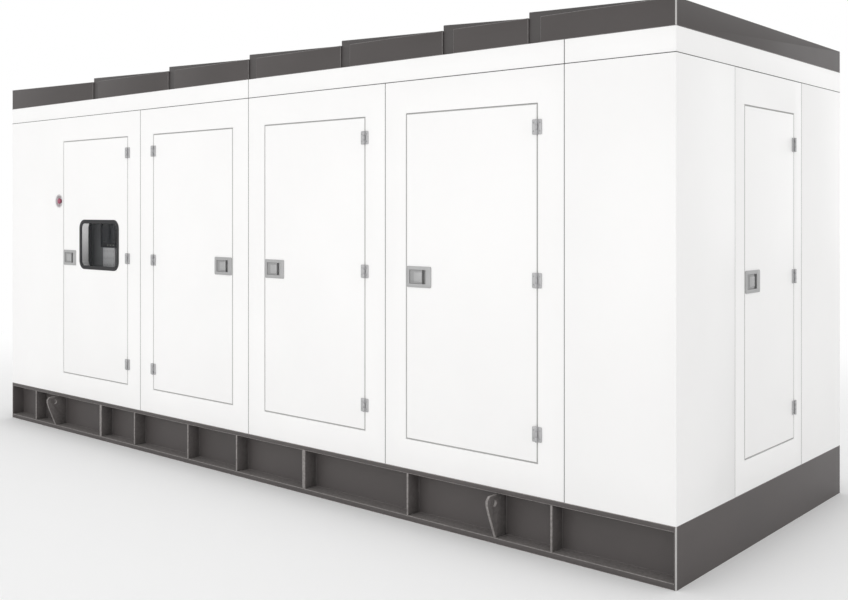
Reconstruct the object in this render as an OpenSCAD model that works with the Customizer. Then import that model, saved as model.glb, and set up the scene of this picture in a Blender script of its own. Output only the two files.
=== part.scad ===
// Canopied generator set: a steel skid, an acoustic canopy of flush wall panels with
// hinged doors on both long sides and both ends, and a roof of stepped caps.
// Millimetres, +Z up, origin on the ground at the centre of the footprint.
// The front is the -Y side, the near end is the +X end.

/* [Canopy] */
// Width over the wall faces
width = 2175; // [1900:25:2700]
// Wall height from the skid's top to the roof caps
wall_h = 2300; // [2200:10:2800]
// Thickness of the acoustic wall panels
wall_t = 75; // [70:1:120]
// Width of one bay of the long wall, from seam to seam
bay_w = 1210; // [1150:10:1500]
// Plain wall between the near end and the first seam
near_panel = 606; // [450:1:900]
// Plain wall beyond the last bay, at the far end
far_panel = 654; // [500:1:1000]
// Height of the band that runs round the top of the walls
band_h = 123; // [90:1:180]
// Width of the seams between panels
seam_w = 4; // [3:0.5:8]
// Depth of the seams between panels
seam_d = 6; // [3:0.5:12]

/* [Doors] */
// Wall between a bay's seam and its doorway
jamb_w = 158; // [120:1:200]
// Wall under each doorway
sill_h = 166; // [120:1:240]
// Wall over each doorway, below the top band
lintel_h = 181; // [120:1:240]
// Running gap round each door
door_gap = 7; // [6.5:0.5:12]
// Thickness of a door
door_t = 50; // [40:1:55]
// Gap between a closed door and its stop
stop_gap = 5; // [5:0.5:10]
// How far a stop reaches behind its door
stop_lap = 14; // [8:1:30]
// Width of the panel that carries an end door
end_bay_w = 900; // [850:10:1200]
// Wall between an end bay's seam and its doorway
end_jamb_w = 114; // [80:1:150]

/* [Hinges] */
// Height of a hinge
hinge_h = 78; // [60:1:140]
// Width of one hinge plate, from the pin to its edge
hinge_w = 29; // [24:1:45]
// Thickness of a hinge plate
hinge_t = 5; // [3:0.5:6]
// Radius of a hinge knuckle
knuckle_r = 7; // [6:0.5:7.5]
// Radius of a hinge pin
pin_r = 4; // [3:0.5:5]
// Radial running gap on a hinge pin
pin_gap = 0.1; // [0.05:0.05:0.3]
// From a door's top edge to the middle of its top hinge
hinge_from_top = 115; // [80:1:250]
// From a door's bottom edge to the middle of its bottom hinge
hinge_from_bottom = 143; // [80:1:250]
// From an end door's top and bottom edges to the middles of its outer hinges
end_hinge_in = 170; // [80:1:250]

/* [Latches] */
// Width of a latch plate
latch_w = 178; // [150:1:210]
// Height of a latch plate
latch_h = 118; // [90:1:150]
// Thickness of a latch plate
latch_t = 5; // [4:0.5:8]
// From a door's bottom edge to the middle of its latch
latch_up = 907; // [700:1:1200]
// From a latch plate to the door's edge
latch_inset = 2; // [2:1:20]
// Rim of a latch plate above, below and outside its pan
latch_rim = 20; // [12:1:26]
// Plain part of a latch plate beside the finger slot
latch_margin = 38; // [20:1:50]
// Depth of a latch's pan behind the door's face
pan_d = 16; // [10:1:24]
// Width of the finger slot beside the paddle
finger_slot_w = 28; // [22:1:34]

/* [Door window] */
// Width of the window in the control door
window_w = 525; // [350:5:560]
// Height of the window
window_h = 367; // [250:1:500]
// Corner radius of the window
window_r = 60; // [30:1:90]
// From the window to the latch plate
window_side = 58; // [40:1:100]
// From the door's bottom edge to the window
window_up = 831; // [600:1:1100]
// Width of the rubber round the window
gasket_w = 22; // [14:1:30]

/* [Skid] */
// Height of the skid
skid_h = 295; // [240:5:380]
// Thickness of a side rail's top flange
top_flange_t = 28; // [16:1:36]
// Thickness of a side rail's bottom flange
bottom_flange_t = 32; // [16:1:40]
// Depth of a side rail's web behind its flange edges
web_in = 95; // [80:1:140]
// Thickness of the webs
web_t = 10; // [6:1:16]
// Thickness of the plates that close the skid's ends
end_plate_t = 12; // [8:1:25]
// Thickness of the deck
deck_t = 8; // [5:1:12]
// Width of a cross beam
beam_w = 90; // [60:5:140]
// Height of a cross beam
beam_h = 200; // [120:5:210]
// Thickness of a stiffener
rib_t = 12; // [8:1:20]
// Thickness of a double stiffener
wide_rib_t = 26; // [20:1:40]
// From the near end to its lifting lugs
near_lug = 1035; // [900:1:1350]
// From the far end to its lifting lugs
far_lug = 692; // [500:1:800]
// Thickness of a lifting lug
lug_t = 14; // [12:1:32]
// How far a lifting lug's nose stands out past the rails
lug_out = 72; // [50:1:90]
// Radius of a lifting eye
eye_r = 19; // [14:0.5:22]

/* [Roof] */
// Height of a roof cap at its low edge
cap_low = 132; // [110:1:180]
// Rise of a roof cap to its high edge
cap_rise = 30; // [15:1:60]
// Bare width that the fascia leaves beside each step
strip_w = 75; // [50:1:110]
// How far the fascia stands proud of a cap's side
strip_d = 8; // [4:1:15]

/* [Controls] */
// From the window's hinge-side edge to the control cabinet
cabinet_side = 9; // [0:1:40]
// Width of the control cabinet
cabinet_w = 604; // [560:1:620]
// Depth of the control cabinet
cabinet_d = 250; // [180:5:400]
// Height of the control cabinet above the deck
cabinet_h = 1650; // [1500:10:1800]
// From the outer wall face to the control cabinet
cabinet_in = 145; // [140:1:260]
// Width of the cable trunking beside the cabinet
trunking_w = 102; // [60:1:110]
// Width of the display and of the keypad
display_w = 208; // [150:1:260]
// Height of the display
display_h = 205; // [150:1:230]
// Height of the keypad
keypad_h = 156; // [120:1:160]
// From the cabinet's near side to the display
display_side = 232; // [180:1:300]
// Height of the emergency stop above the skid
stop_up = 1524; // [1300:1:1700]
// From door 1's latch edge to the emergency stop
stop_side = 70; // [70:1:160]
// Radius of the collar round the emergency stop's cup
collar_r = 54; // [30:1:60]
// Radius of the emergency stop's button
button_r = 22; // [16:1:28]

/* [Hidden] */

$fn = 48;
cut = 1;                                     // how far a cutter runs past a face

bays = 4;
length = near_panel + bays * bay_w + far_panel;
wall_y = width / 2;                          // outer face of the long walls
end_x = length / 2;                          // outer face of the end walls
wall_z = skid_h;                             // foot of the walls
band_z = wall_z + wall_h - band_h;           // seam under the top band
roof_z = wall_z + wall_h;                    // foot of the roof caps

// Doorways and doors
opening_w = bay_w - 2 * jamb_w;
end_opening_w = end_bay_w - 2 * end_jamb_w;
opening_z = wall_z + sill_h;
opening_h = wall_h - band_h - lintel_h - sill_h;
leaf_w = opening_w - 2 * door_gap;
end_leaf_w = end_opening_w - 2 * door_gap;
leaf_h = opening_h - 2 * door_gap;
leaf_z = opening_z + door_gap;
stop_in = door_t + stop_gap;                 // depth of the stops behind the wall face
window_in = leaf_w - latch_inset - latch_w - window_side - window_w;  // from the hinged edge

// Hinges: the pin stands proud of the face, over the middle of the running gap
pin_out = knuckle_r + 1;
plate_from_pin = knuckle_r + 2;
tab_from_pin = 3;
knuckle_gap = 1;
hinge_up = [hinge_from_bottom, (hinge_from_bottom + leaf_h - hinge_from_top) / 2,
            leaf_h - hinge_from_top];
end_hinge_up = [end_hinge_in, leaf_h / 2, leaf_h - end_hinge_in];

// Seams and doorways are counted back from the near end
seams = [for (i = [0:bays - 1]) near_panel + i * bay_w];
band_seams = [seams[0], seams[2]];
door_middles = [for (i = [bays - 1:-1:0]) near_panel + (i + 0.5) * bay_w];
door_hinged_near = [true, false, true, true];
latch_turned = [false, true, false, false];

// A latch's pan, its fit in the door, and its paddle
pan_wall = 2;
pan_fit = 0.5;
paddle_gap = 2;
pan_w = latch_w - latch_margin - latch_rim;
pan_h = latch_h - 2 * latch_rim;
paddle_w = pan_w - finger_slot_w - paddle_gap;

// Places along the skid and the roof, as shares of the length from the near end
rib_shares = [0.112, 0.270, 0.516, 0.602, 0.707, 0.936];
wide_rib_shares = [0.410, 0.780];
beam_shares = [0.10, 0.30, 0.50, 0.70, 0.90];
step_shares = [0, 0.135, 0.228, 0.357, 0.496, 0.639, 0.797, 1];

white = [0.93, 0.93, 0.92];
charcoal = [0.30, 0.29, 0.28];
zinc = [0.62, 0.62, 0.62];

// x of a place that lies d back from the near end
function back(d) = end_x - d;

// ---------------------------------------------------------------- helpers

module both_sides() {
    children();
    mirror([0, 1, 0]) children();
}

module both_ends() {
    children();
    mirror([1, 0, 0]) children();
}

// A box given by its low corner and its size
module block(low, size) {
    translate(low) cube(size);
}

// A flat rounded rectangle with its low corner at the origin
module rounded(w, h, r) {
    translate([r, 0]) square([w - 2 * r, h]);
    translate([0, r]) square([w, h - 2 * r]);
    for (x = [r, w - r], y = [r, h - r]) translate([x, y]) circle(r);
}

// Stands a flat outline up in the XZ plane and gives it a depth inward from y = 0
module upright(depth) {
    rotate([90, 0, 0]) mirror([0, 0, 1]) linear_extrude(depth) children();
}

// Puts a door's parts at a doorway of the front wall. The children are drawn with the
// pin's line over x = 0, the wall face on y = 0 and the door reaching towards +X.
module at_front_door(i) {
    away = opening_w / 2 - door_gap / 2;
    if (door_hinged_near[i])
        translate([back(door_middles[i]) + away, -wall_y, leaf_z]) mirror([1, 0, 0]) children();
    else
        translate([back(door_middles[i]) - away, -wall_y, leaf_z]) children();
}

// The same for the doorway of the near end, hinged on its rear edge
module at_end_door() {
    away = end_opening_w / 2 - door_gap / 2;
    translate([end_x, away, leaf_z]) rotate([0, 0, 90]) mirror([1, 0, 0]) children();
}

// The same for the doors that repeat the front's on the rear and the near end's on the far
module at_fixed_doors(i) {
    mirror([0, 1, 0]) at_front_door(i) children();
}

module at_far_door() {
    mirror([1, 0, 0]) at_end_door() children();
}

// ---------------------------------------------------------------- skid

module skid_flange(z, t) {
    color(charcoal) both_sides()
        block([-end_x + end_plate_t, -wall_y, z], [length - 2 * end_plate_t, web_in + web_t, t]);
}

module skid_top_flanges() {
    skid_flange(skid_h - top_flange_t, top_flange_t);
}

module skid_bottom_flanges() {
    skid_flange(0, bottom_flange_t);
}

module skid_webs() {
    color(charcoal) both_sides()
        block([-end_x + end_plate_t, -wall_y + web_in, bottom_flange_t],
              [length - 2 * end_plate_t, web_t, skid_h - top_flange_t - bottom_flange_t]);
}

module skid_end_plates() {
    color(charcoal) both_ends()
        block([end_x - end_plate_t, -wall_y, 0], [end_plate_t, width, skid_h]);
}

module skid_cross_beams() {
    inner = wall_y - web_in - web_t;
    color(charcoal) for (s = beam_shares)
        block([back(s * length) - beam_w / 2, -inner, skid_h - deck_t - beam_h],
              [beam_w, 2 * inner, beam_h]);
}

module skid_ribs(shares, t) {
    for (s = shares)
        block([back(s * length) - t / 2, -wall_y, bottom_flange_t],
              [t, web_in, skid_h - top_flange_t - bottom_flange_t]);
}

module skid_stiffeners() {
    color(charcoal) both_sides() {
        skid_ribs(rib_shares, rib_t);
        skid_ribs(wide_rib_shares, wide_rib_t);
    }
}

// One lug: it leans out past the rail from the rail's foot to a full nose beside its eye
module lug(x) {
    under_flange = 9;
    nose = 20;
    top = skid_h - top_flange_t - under_flange;
    translate([x + lug_t / 2, -wall_y, 0]) rotate([90, 0, -90]) linear_extrude(lug_t)
        mirror([1, 0]) difference() {
            polygon([[web_in, bottom_flange_t], [0, bottom_flange_t],
                     [-0.78 * lug_out, top - 90], [-lug_out, top - 43],
                     [-lug_out, top - nose], [nose - lug_out, top], [web_in, top]]);
            translate([60 - lug_out, top - 42]) circle(eye_r);
        }
}

module lifting_lugs() {
    color(charcoal) both_sides() {
        lug(back(near_lug));
        lug(-back(far_lug));
    }
}

module deck_plate() {
    inner = wall_y - web_in - web_t;
    color("dimgray")
        block([-end_x + end_plate_t, -inner, skid_h - deck_t],
              [length - 2 * end_plate_t, 2 * inner, deck_t]);
}

// ---------------------------------------------------------------- walls

// A groove along a vertical seam of the front wall
module side_seam(d, z, h) {
    block([back(d) - seam_w / 2, -wall_y - cut, z - cut], [seam_w, seam_d + cut, h + 2 * cut]);
}

// Each pier runs from one doorway's edge to the next, counted back from the near end
module long_wall_piers() {
    middles = [for (i = [bays - 1:-1:0]) door_middles[i]];
    starts = concat([0], [for (d = middles) d + opening_w / 2]);
    ends = concat([for (d = middles) d - opening_w / 2], [length]);
    color(white) difference() {
        for (i = [0:bays])
            block([back(ends[i]), -wall_y, wall_z], [ends[i] - starts[i], wall_t, wall_h - band_h]);
        for (d = seams) side_seam(d, wall_z, wall_h - band_h);
        at_stops(-cup_d - cup_fit) cylinder(r = cup_r + cup_fit, h = cup_d + cup_fit + cut);
    }
}

module front_piers() {
    long_wall_piers();
}

module rear_piers() {
    mirror([0, 1, 0]) long_wall_piers();
}

module end_piers() {
    pier_w = wall_y - wall_t - end_opening_w / 2;
    color(white) both_ends() both_sides() difference() {
        block([end_x - wall_t, end_opening_w / 2, wall_z], [wall_t, pier_w, wall_h - band_h]);
        block([end_x - seam_d, end_bay_w / 2 - seam_w / 2, wall_z - cut],
              [seam_d + cut, seam_w, wall_h - band_h + 2 * cut]);
    }
}

// Fills the width of every doorway with a piece of wall from z up
module doorway_fill(z, h) {
    both_sides() for (d = door_middles)
        block([back(d) - opening_w / 2, -wall_y, z], [opening_w, wall_t, h]);
    both_ends() block([end_x - wall_t, -end_opening_w / 2, z], [wall_t, end_opening_w, h]);
}

module door_lintels() {
    color(white) doorway_fill(opening_z + opening_h, lintel_h);
}

module door_sills() {
    color(white) doorway_fill(wall_z, sill_h);
}

// The strips that a closed door shuts against, in a doorway of the given width.
// Drawn with the doorway's low corner at the origin.
module stops(w) {
    lap = door_gap + stop_lap;
    depth = wall_t - stop_in;
    parting = 1;
    for (x = [0, w - lap]) block([x, stop_in, 0], [lap, depth, opening_h]);
    for (z = [0, opening_h - lap])
        block([lap + parting, stop_in, z], [w - 2 * lap - 2 * parting, depth, lap]);
}

module door_stops() {
    color(zinc) {
        both_sides() for (d = door_middles)
            translate([back(d) - opening_w / 2, -wall_y, opening_z]) stops(opening_w);
        both_ends() translate([end_x, -end_opening_w / 2, opening_z])
            rotate([0, 0, 90]) stops(end_opening_w);
    }
}

module side_bands() {
    color(white) both_sides() difference() {
        block([-end_x, -wall_y, band_z], [length, wall_t, band_h]);
        block([-end_x - cut, -wall_y - cut, band_z - cut],
              [length + 2 * cut, seam_d + cut, seam_w + cut]);
        for (x = [-end_x - cut, end_x - seam_d])
            block([x, -wall_y - cut, band_z - cut], [seam_d + cut, wall_t + 2 * cut, seam_w + cut]);
        for (d = band_seams) side_seam(d, band_z, band_h);
    }
}

module end_bands() {
    color(white) both_ends() difference() {
        block([end_x - wall_t, -wall_y + wall_t, band_z], [wall_t, width - 2 * wall_t, band_h]);
        block([end_x - seam_d, -wall_y, band_z - cut], [seam_d + cut, width, seam_w + cut]);
    }
}

// ---------------------------------------------------------------- roof

// One cap of the roof, high at its far edge. Its level fascia stands proud of its sides, so
// the slope shows above it, and it stops short of the step.
module roof_cap(i) {
    near_x = back(step_shares[i] * length);
    far_x = back(step_shares[i + 1] * length);
    has_step = i < len(step_shares) - 2;
    color(charcoal) difference() {
        translate([0, wall_y, 0]) rotate([90, 0, 0]) linear_extrude(width)
            polygon([[far_x, roof_z], [near_x, roof_z], [near_x, roof_z + cap_low],
                     [far_x, roof_z + cap_low + cap_rise]]);
        if (has_step) both_sides() {
            block([far_x - cut, -wall_y - cut, roof_z + cap_low],
                  [near_x - far_x + 2 * cut, strip_d + cut, cap_rise + cut]);
            block([far_x - cut, -wall_y - cut, roof_z - cut],
                  [strip_w + cut, strip_d + cut, cap_low + cap_rise + 2 * cut]);
        }
    }
}

// ---------------------------------------------------------------- doors

// Puts a latch's parts on a door of width w, with the latch's low corner at the origin and
// its finger slot towards the hinges. A turned latch has it towards the free edge.
module at_latch(w, turned) {
    translate([door_gap / 2 + w - latch_inset - latch_w, 0, latch_up - latch_h / 2])
        if (turned) translate([latch_w, 0, 0]) mirror([1, 0, 0]) children();
        else children();
}

// The inside of a latch's pan, grown by g on every side, from y = front inward
module pan_space(g, front, depth) {
    block([latch_margin - g, front, latch_rim - g], [pan_w + 2 * g, depth, pan_h + 2 * g]);
}

// A door leaf reaching towards +X from the pin's line, with a pocket for its latch
module leaf(w, turned = false) {
    color(white) difference() {
        block([door_gap / 2, 0, 0], [w, door_t, leaf_h]);
        at_latch(w, turned) pan_space(pan_wall + pan_fit, -cut, pan_d + pan_fit + cut);
    }
}

// A hinge half: one plate with the knuckles that it carries, reaching towards +X
module hinge_half(low, knuckles) {
    color(zinc) translate([0, 0, low]) {
        block([plate_from_pin, -hinge_t, 0], [hinge_w - plate_from_pin, hinge_t, hinge_h]);
        for (k = knuckles) {
            z = k * hinge_h / 3 + (k == 0 ? 0 : knuckle_gap / 2);
            h = hinge_h / 3 - (k == 1 ? knuckle_gap : knuckle_gap / 2);
            translate([0, -pin_out, z]) cylinder(r = knuckle_r, h = h);
            block([tab_from_pin, -hinge_t, z], [plate_from_pin - tab_from_pin, hinge_t, h]);
        }
    }
}

// The halves on the door, with a bore for the pin
module door_hinges(ups = hinge_up) {
    for (up = ups) difference() {
        hinge_half(up - hinge_h / 2, [1]);
        translate([0, -pin_out, up - hinge_h / 2]) cylinder(r = pin_r + pin_gap, h = hinge_h);
    }
}

// The halves on the wall, with the pins
module frame_hinges(ups = hinge_up) {
    for (up = ups) {
        mirror([1, 0, 0]) hinge_half(up - hinge_h / 2, [0, 2]);
        color(zinc) translate([0, -pin_out, up - hinge_h / 2]) cylinder(r = pin_r, h = hinge_h);
    }
}

// A flush paddle latch: a plate on the door's face, a pan let into the door, and a paddle
// in the pan that leaves a finger slot beside it
module latch(w, turned = false) {
    color(zinc) at_latch(w, turned) {
        difference() {
            union() {
                block([0, -latch_t, 0], [latch_w, latch_t, latch_h]);
                pan_space(pan_wall, -latch_t / 2, latch_t / 2 + pan_d);
            }
            pan_space(0, -latch_t - cut, cut + latch_t + pan_d - pan_wall);
        }
        block([latch_margin + finger_slot_w, 1 - latch_t, latch_rim + paddle_gap],
              [paddle_w, latch_t - 1 + pan_d - pan_wall / 2, pan_h - 2 * paddle_gap]);
    }
}

module hinge_frame_leaves() {
    for (i = [0:bays - 1]) at_front_door(i) frame_hinges();
    at_end_door() frame_hinges(end_hinge_up);
}

// The window's outline in door 1, grown by g on every side
module window_outline(g) {
    translate([door_gap / 2 + window_in - g, window_up - g])
        rounded(window_w + 2 * g, window_h + 2 * g, window_r + g);
}

module door_1_leaf() {
    at_front_door(0) difference() {
        leaf(leaf_w);
        translate([0, -cut, 0]) upright(door_t + 2 * cut) window_outline(0);
    }
}

// The rubber laps over the door's face and lines the hole, and the pane stands in the lining
gasket_proud = 3;
gasket_lining = 3;
pane_in = 4;
pane_t = 6;

module window_gasket() {
    color([0.12, 0.12, 0.12]) at_front_door(0) {
        difference() {
            translate([0, -gasket_proud, 0]) upright(gasket_proud) window_outline(gasket_w / 3);
            translate([0, -gasket_proud - cut, 0])
                upright(gasket_proud + 2 * cut) window_outline(-gasket_w);
        }
        difference() {
            upright(door_t) window_outline(0);
            translate([0, -cut, 0]) upright(door_t + 2 * cut) window_outline(-gasket_lining);
        }
        difference() {
            upright(pane_in) window_outline(0);
            translate([0, -cut, 0]) upright(pane_in + 2 * cut) window_outline(-gasket_w);
        }
    }
}

module window_glass() {
    color([0.4, 0.45, 0.45, 0.4]) at_front_door(0)
        translate([0, pane_in, 0]) upright(pane_t) window_outline(-gasket_lining);
}

module door_1_hinges() {
    at_front_door(0) door_hinges();
}

module door_1_latch() {
    at_front_door(0) latch(leaf_w);
}

module door_2_leaf() {
    at_front_door(1) leaf(leaf_w, latch_turned[1]);
}

module door_2_hinges() {
    at_front_door(1) door_hinges();
}

module door_2_latch() {
    at_front_door(1) latch(leaf_w, latch_turned[1]);
}

module door_3_leaf() {
    at_front_door(2) leaf(leaf_w);
}

module door_3_hinges() {
    at_front_door(2) door_hinges();
}

module door_3_latch() {
    at_front_door(2) latch(leaf_w);
}

module door_4_leaf() {
    at_front_door(3) leaf(leaf_w);
}

module door_4_hinges() {
    at_front_door(3) door_hinges();
}

module door_4_latch() {
    at_front_door(3) latch(leaf_w);
}

module end_door_leaf() {
    at_end_door() leaf(end_leaf_w);
}

module end_door_hinges() {
    at_end_door() door_hinges(end_hinge_up);
}

module end_door_latch() {
    at_end_door() latch(end_leaf_w);
}

// The doors of the rear and of the far end, which repeat the others and stay shut
module fixed_doors() {
    for (i = [0:bays - 1]) at_fixed_doors(i) leaf(leaf_w, latch_turned[i]);
    at_far_door() leaf(end_leaf_w);
}

// Their hinges stay shut too, so both halves and the pin are one piece
module shut_hinges(ups = hinge_up) {
    frame_hinges(ups);
    for (up = ups) hinge_half(up - hinge_h / 2, [1]);
}

module fixed_door_hinges() {
    for (i = [0:bays - 1]) at_fixed_doors(i) shut_hinges();
    at_far_door() shut_hinges(end_hinge_up);
}

module fixed_door_latches() {
    for (i = [0:bays - 1]) at_fixed_doors(i) latch(leaf_w, latch_turned[i]);
    at_far_door() latch(end_leaf_w);
}

// ---------------------------------------------------------------- controls

// Puts an emergency stop on both long walls, its axis out of the face
module at_stops(out) {
    d = door_middles[0] + leaf_w / 2 + stop_side;
    both_sides() translate([back(d), -wall_y - out, wall_z + stop_up])
        rotate([90, 0, 0]) children();
}

// The collar is the flange of a cup let into the wall, and the button stands up from its floor
collar_t = 3;
cup_r = collar_r - 6;
cup_t = 2;
cup_d = 34;
cup_fit = 0.5;

module stop_collars() {
    color(zinc) difference() {
        union() {
            at_stops(0) cylinder(r = collar_r, h = collar_t);
            at_stops(-cup_d) cylinder(r = cup_r, h = cup_d + collar_t / 2);
        }
        at_stops(cup_t - cup_d) cylinder(r = cup_r - cup_t, h = cup_d + collar_t);
    }
}

module stop_buttons() {
    stem_t = 20;
    head_t = 20;
    color([0.55, 0.10, 0.15]) at_stops(cup_t - cup_d) {
        cylinder(r = button_r * 0.6, h = stem_t);
        translate([0, 0, stem_t]) cylinder(r1 = button_r, r2 = button_r * 0.75, h = head_t);
    }
}

// The controls are set out from the window that they show through: x of the cabinet's near
// side, and y of its face
cabinet_x = back(door_middles[0] - leaf_w / 2 + window_in + cabinet_side);
cabinet_y = -wall_y + cabinet_in;

module control_cabinet() {
    color([0.22, 0.22, 0.23])
        block([cabinet_x - cabinet_w, cabinet_y, wall_z], [cabinet_w, cabinet_d, cabinet_h]);
}

module control_trunking() {
    trunking_d = 80;
    color([0.70, 0.70, 0.70])
        block([cabinet_x - cabinet_w - trunking_w, cabinet_y, wall_z],
              [trunking_w, trunking_d, cabinet_h]);
}

// The keypad starts level with the window's lower edge, and the display is over it
module control_instruments() {
    proud = 15;
    parting = 3;
    x = cabinet_x - display_side - display_w;
    keypad_z = leaf_z + window_up;
    color([0.15, 0.15, 0.16])
        block([x, cabinet_y - proud, keypad_z + keypad_h + parting],
              [display_w, proud, display_h]);
    color([0.65, 0.65, 0.66])
        block([x, cabinet_y - proud, keypad_z], [display_w, proud, keypad_h]);
}

// ---------------------------------------------------------------- drawing

skid_top_flanges();
skid_webs();
skid_bottom_flanges();
skid_end_plates();
skid_cross_beams();
skid_stiffeners();
lifting_lugs();
deck_plate();
front_piers();
rear_piers();
end_piers();
door_lintels();
door_sills();
door_stops();
side_bands();
end_bands();
roof_cap(0);  // roof_cap_1
roof_cap(1);  // roof_cap_2
roof_cap(2);  // roof_cap_3
roof_cap(3);  // roof_cap_4
roof_cap(4);  // roof_cap_5
roof_cap(5);  // roof_cap_6
roof_cap(6);  // roof_cap_7
hinge_frame_leaves();
fixed_doors();
fixed_door_hinges();
fixed_door_latches();
stop_collars();
stop_buttons();
control_cabinet();
control_trunking();
control_instruments();
door_1_leaf();
door_1_hinges();
door_1_latch();
window_gasket();
window_glass();
door_2_leaf();
door_2_hinges();
door_2_latch();
door_3_leaf();
door_3_hinges();
door_3_latch();
door_4_leaf();
door_4_hinges();
door_4_latch();
end_door_leaf();
end_door_hinges();
end_door_latch();
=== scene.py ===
import math

import bmesh
import bpy
from mathutils import Matrix, Vector


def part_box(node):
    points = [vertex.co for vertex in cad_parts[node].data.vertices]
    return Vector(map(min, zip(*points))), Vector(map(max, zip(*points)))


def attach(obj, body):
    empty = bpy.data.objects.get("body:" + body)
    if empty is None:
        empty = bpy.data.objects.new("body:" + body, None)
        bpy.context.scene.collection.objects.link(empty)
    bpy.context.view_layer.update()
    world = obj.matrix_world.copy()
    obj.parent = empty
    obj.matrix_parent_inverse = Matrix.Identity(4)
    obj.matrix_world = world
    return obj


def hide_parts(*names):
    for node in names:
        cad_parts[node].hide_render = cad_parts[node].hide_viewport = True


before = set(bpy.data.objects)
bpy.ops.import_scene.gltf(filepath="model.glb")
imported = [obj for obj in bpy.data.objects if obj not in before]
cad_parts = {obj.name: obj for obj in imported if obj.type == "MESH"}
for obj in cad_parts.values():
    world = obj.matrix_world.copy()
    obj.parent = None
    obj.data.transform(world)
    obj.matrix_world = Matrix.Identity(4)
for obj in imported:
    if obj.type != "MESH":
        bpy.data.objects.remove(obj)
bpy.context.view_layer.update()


# ---- the view
# A level camera at a standing person's eye height, off the near front corner. It looks along
# the long front, and the shift brings the skid's foot into the frame.
wall_low, wall_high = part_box("side_bands")
near_front_corner = Vector((wall_high.x, wall_low.y, 0))
eye_from_corner = Vector((2.198, -4.336, 1.747))
looking_left_of_rear = 40.637

lens = bpy.data.cameras.new("eye")
lens.sensor_width = 36
lens.lens = 43.76
lens.shift_y = -0.106
lens.clip_end = 200
eye = bpy.data.objects.new("eye", lens)
eye.location = near_front_corner + eye_from_corner
eye.rotation_euler = (math.radians(90), 0, math.radians(looking_left_of_rear))
bpy.context.scene.collection.objects.link(eye)
bpy.context.scene.camera = eye
bpy.context.scene.view_settings.view_transform = "Standard"


# ---- floor and studio light
# The pale studio floor fades into a white backdrop. Five broad softboxes stand round the set
# and over it, and a small lamp behind the control window lights the window's lining.
floor_reach = 60
floor_colour = (0.90, 0.90, 0.90, 1)
plain_white = (1, 1, 1, 1)
plain_floor_to = 4.0
white_floor_from = 9.0
ambient = 0.855
middle_of_set = Vector((0, 0, 1.2))
softboxes = {
    "front_softbox": ((-0.5, -9.5, 2.4), (9.0, 4.0), 160),
    "end_softbox": ((10.0, -0.5, 2.4), (5.0, 4.0), 40),
    "overhead_softbox": ((0.0, 0.0, 9.0), (7.0, 5.0), 40),
    "rear_softbox": ((1.0, 9.5, 3.2), (9.0, 4.0), 90),
    "far_end_softbox": ((-10.0, 0.5, 3.0), (5.0, 4.0), 40),
}
controls_lamp_in = 0.04
controls_lamp_side = 0.03
controls_lamp_power = 0.16
controls_lamp_spread = 70
pane_low, pane_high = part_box("window_glass")
cabinet_low, cabinet_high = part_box("control_cabinet")


def fill(tree, node, inputs):
    """Gives a shader node's inputs plain values, or joins them to the outputs of others."""
    for name, value in inputs.items():
        if isinstance(value, bpy.types.NodeSocket):
            tree.links.new(value, node.inputs[name])
        else:
            node.inputs[name].default_value = value


def add(tree, kind, inputs=None, **settings):
    """Adds a shader node with its inputs and settings."""
    made = tree.nodes.new(kind)
    for name, value in settings.items():
        setattr(made, name, value)
    fill(tree, made, inputs or {})
    return made


def seen_directly(tree):
    """1 for what the camera, a reflection or a clear pane sees, and 0 for light."""
    ray = add(tree, "ShaderNodeLightPath").outputs
    either = add(tree, "ShaderNodeMath", {0: ray["Is Camera Ray"], 1: ray["Is Glossy Ray"]},
                 operation="MAXIMUM")
    return add(tree, "ShaderNodeMath", {0: either.outputs[0], 1: ray["Is Transmission Ray"]},
               operation="MAXIMUM").outputs[0]


def hang(name, spot, towards, size, power, spread=180):
    """Hangs a soft lamp of a width and a height, shining from one place towards another."""
    data = bpy.data.lights.new(name, "AREA")
    data.shape = "RECTANGLE"
    data.size, data.size_y = size
    data.energy = power
    data.spread = math.radians(spread)
    lamp = bpy.data.objects.new(name, data)
    lamp.location = spot
    lamp.rotation_euler = (Vector(towards) - Vector(spot)).to_track_quat("-Z", "Y").to_euler()
    lamp.visible_camera = False
    bpy.context.scene.collection.objects.link(lamp)


world = bpy.data.worlds.new("studio")
world.use_nodes = True
bpy.context.scene.world = world
tree = world.node_tree
tree.nodes.clear()
soft = add(tree, "ShaderNodeBackground", {"Color": plain_white, "Strength": ambient})
white = add(tree, "ShaderNodeBackground", {"Color": plain_white, "Strength": 1.0})
either = add(tree, "ShaderNodeMixShader",
             {0: seen_directly(tree), 1: soft.outputs[0], 2: white.outputs[0]})
add(tree, "ShaderNodeOutputWorld", {"Surface": either.outputs[0]})

backdrop = bpy.data.materials.new("studio_floor")
backdrop.use_nodes = True
tree = backdrop.node_tree
tree.nodes.clear()
matt = add(tree, "ShaderNodeBsdfDiffuse", {"Color": floor_colour})
glow = add(tree, "ShaderNodeEmission", {"Color": plain_white, "Strength": 1.0})
place = add(tree, "ShaderNodeTexCoord").outputs["Object"]
reach = add(tree, "ShaderNodeVectorMath", {0: place}, operation="LENGTH")
fade = add(tree, "ShaderNodeMapRange", {"Value": reach.outputs["Value"], "From Min": plain_floor_to,
                                        "From Max": white_floor_from}, interpolation_type="SMOOTHSTEP")
whiten = add(tree, "ShaderNodeMath", {0: fade.outputs[0], 1: seen_directly(tree)},
             operation="MULTIPLY")
either = add(tree, "ShaderNodeMixShader",
             {0: whiten.outputs[0], 1: matt.outputs[0], 2: glow.outputs[0]})
add(tree, "ShaderNodeOutputMaterial", {"Surface": either.outputs[0]})

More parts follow.
